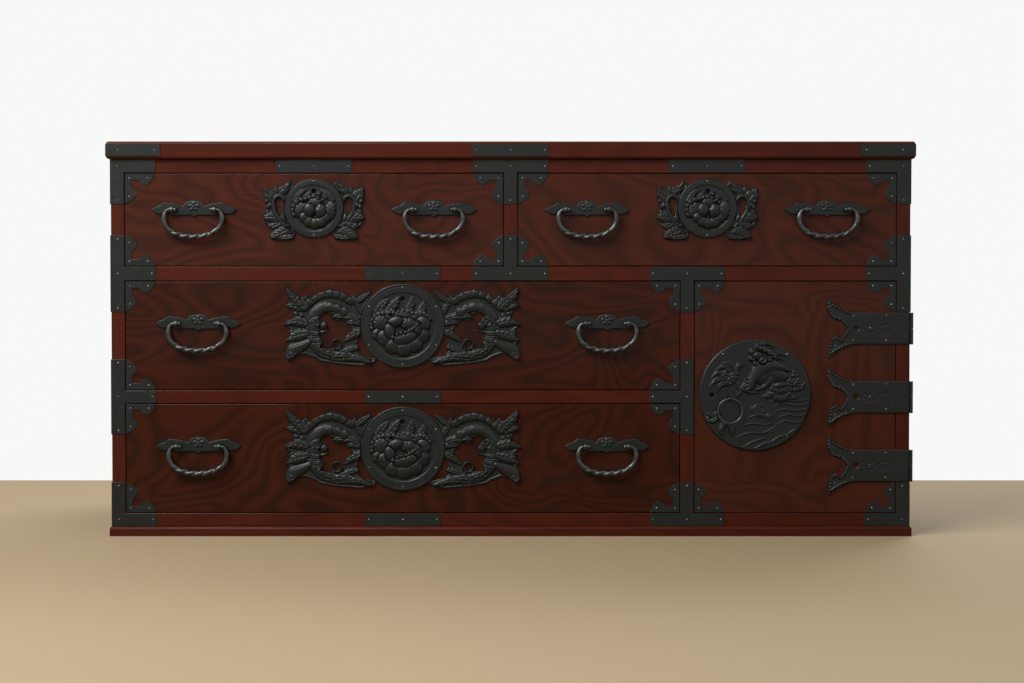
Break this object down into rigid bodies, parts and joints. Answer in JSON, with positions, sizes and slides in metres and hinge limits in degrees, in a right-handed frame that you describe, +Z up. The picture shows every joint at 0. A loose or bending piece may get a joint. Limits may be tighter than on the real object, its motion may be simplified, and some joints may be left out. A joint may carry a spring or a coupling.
{
  "type": "clothing chest",
  "caption": "Low Japanese isho tansu: lacquered wood drawers and a hinged cabinet door, with black iron lock plates, straps, corner irons and swinging bail handles.",
  "frame": {"origin": "bottom centre of the bounding box, on the floor under the middle of the chest", "axes": "+X to the viewer's right along the chest's length, +Y to the back, +Z up; the front faces -Y"},
  "size_m": [1.192, 0.4644, 0.583],
  "materials": {
    "frame_lacquer": "glossy translucent red-brown lacquer over zelkova",
    "front_lacquer": "deep translucent red-brown lacquer over boldly figured zelkova",
    "plain_wood": "bare paulownia",
    "black_iron": "blackened forged iron, satin"
  },
  "bodies": {
    "carcass": {"back_panel": "plain_wood", "base_moulding": "frame_lacquer", "bottom_board": "plain_wood", "bottom_rail": "frame_lacquer", "cabinet_shelf": "plain_wood", "center_divider": "frame_lacquer", "dust_panels": "plain_wood", "frame_corner_irons": "black_iron", "frame_side_irons": "black_iron", "frame_tee_irons": "black_iron", "hinge_pins": "black_iron", "hinge_side_leaves": "black_iron", "lower_divider": "frame_lacquer", "lower_rail": "frame_lacquer", "middle_rail": "frame_lacquer", "rail_straps": "black_iron", "shelf_cleats": "plain_wood", "side_panel_left": "frame_lacquer", "side_panel_right": "frame_lacquer", "top_board": "frame_lacquer", "top_edge_irons": "black_iron", "top_rail": "frame_lacquer"},
    "top_left_drawer": {"top_left_drawer_front": "front_lacquer", "top_left_drawer_box": "plain_wood", "top_left_drawer_bottom": "plain_wood", "top_left_drawer_corner_irons": "black_iron", "top_left_drawer_lock": "black_iron", "top_left_drawer_handle_plates": "black_iron"},
    "top_left_drawer_left_bail": {"top_left_drawer_left_bail": "black_iron"},
    "top_left_drawer_right_bail": {"top_left_drawer_right_bail": "black_iron"},
    "top_right_drawer": {"top_right_drawer_front": "front_lacquer", "top_right_drawer_box": "plain_wood", "top_right_drawer_bottom": "plain_wood", "top_right_drawer_corner_irons": "black_iron", "top_right_drawer_lock": "black_iron", "top_right_drawer_handle_plates": "black_iron"},
    "top_right_drawer_left_bail": {"top_right_drawer_left_bail": "black_iron"},
    "top_right_drawer_right_bail": {"top_right_drawer_right_bail": "black_iron"},
    "middle_drawer": {"middle_drawer_front": "front_lacquer", "middle_drawer_box": "plain_wood", "middle_drawer_bottom": "plain_wood", "middle_drawer_corner_irons": "black_iron", "middle_drawer_lock": "black_iron", "middle_drawer_handle_plates": "black_iron"},
    "middle_drawer_left_bail": {"middle_drawer_left_bail": "black_iron"},
    "middle_drawer_right_bail": {"middle_drawer_right_bail": "black_iron"},
    "lower_drawer": {"lower_drawer_front": "front_lacquer", "lower_drawer_box": "plain_wood", "lower_drawer_bottom": "plain_wood", "lower_drawer_corner_irons": "black_iron", "lower_drawer_lock": "black_iron", "lower_drawer_handle_plates": "black_iron"},
    "lower_drawer_left_bail": {"lower_drawer_left_bail": "black_iron"},
    "lower_drawer_right_bail": {"lower_drawer_right_bail": "black_iron"},
    "door": {"door_panel": "front_lacquer", "door_end_boards": "front_lacquer", "door_hinge_straps": "black_iron", "door_corner_irons": "black_iron", "door_lock_plate": "black_iron"},
    "door_ring": {"door_ring": "black_iron"}
  },
  "joints": [
    {"name": "top_left_drawer_slide", "type": "slide", "parent": "carcass", "child": "top_left_drawer", "axis": [0, -1, 0], "range_m": [0, 0.34]},
    {"name": "top_left_drawer_left_bail_swing", "type": "hinge", "parent": "top_left_drawer", "child": "top_left_drawer_left_bail", "pos_m": [-0.467, -0.22745, 0.4825], "axis": [-1, 0, 0], "range_deg": [-5, 180]},
    {"name": "top_left_drawer_right_bail_swing", "type": "hinge", "parent": "top_left_drawer", "child": "top_left_drawer_right_bail", "pos_m": [-0.113, -0.22745, 0.4825], "axis": [-1, 0, 0], "range_deg": [-5, 180]},
    {"name": "top_right_drawer_slide", "type": "slide", "parent": "carcass", "child": "top_right_drawer", "axis": [0, -1, 0], "range_m": [0, 0.34]},
    {"name": "top_right_drawer_left_bail_swing", "type": "hinge", "parent": "top_right_drawer", "child": "top_right_drawer_left_bail", "pos_m": [0.113, -0.22745, 0.4825], "axis": [-1, 0, 0], "range_deg": [-5, 180]},
    {"name": "top_right_drawer_right_bail_swing", "type": "hinge", "parent": "top_right_drawer", "child": "top_right_drawer_right_bail", "pos_m": [0.467, -0.22745, 0.4825], "axis": [-1, 0, 0], "range_deg": [-5, 180]},
    {"name": "middle_drawer_slide", "type": "slide", "parent": "carcass", "child": "middle_drawer", "axis": [0, -1, 0], "range_m": [0, 0.34]},
    {"name": "middle_drawer_left_bail_swing", "type": "hinge", "parent": "middle_drawer", "child": "middle_drawer_left_bail", "pos_m": [-0.4615, -0.22745, 0.3148], "axis": [-1, 0, 0], "range_deg": [-5, 180]},
    {"name": "middle_drawer_right_bail_swing", "type": "hinge", "parent": "middle_drawer", "child": "middle_drawer_right_bail", "pos_m": [0.1425, -0.22745, 0.3148], "axis": [-1, 0, 0], "range_deg": [-5, 180]},
    {"name": "lower_drawer_slide", "type": "slide", "parent": "carcass", "child": "lower_drawer", "axis": [0, -1, 0], "range_m": [0, 0.34]},
    {"name": "lower_drawer_left_bail_swing", "type": "hinge", "parent": "lower_drawer", "child": "lower_drawer_left_bail", "pos_m": [-0.4615, -0.22745, 0.1333], "axis": [-1, 0, 0], "range_deg": [-5, 180]},
    {"name": "lower_drawer_right_bail_swing", "type": "hinge", "parent": "lower_drawer", "child": "lower_drawer_right_bail", "pos_m": [0.1425, -0.22745, 0.1333], "axis": [-1, 0, 0], "range_deg": [-5, 180]},
    {"name": "door_hinge", "type": "hinge", "parent": "carcass", "child": "door", "pos_m": [0.5921, -0.21995, 0.206], "axis": [0, 0, 1], "range_deg": [0, 180]},
    {"name": "door_ring_swing", "type": "hinge", "parent": "door", "child": "door_ring", "pos_m": [0.3237, -0.22745, 0.204], "axis": [-1, 0, 0], "range_deg": [-5, 160]}
  ]
}
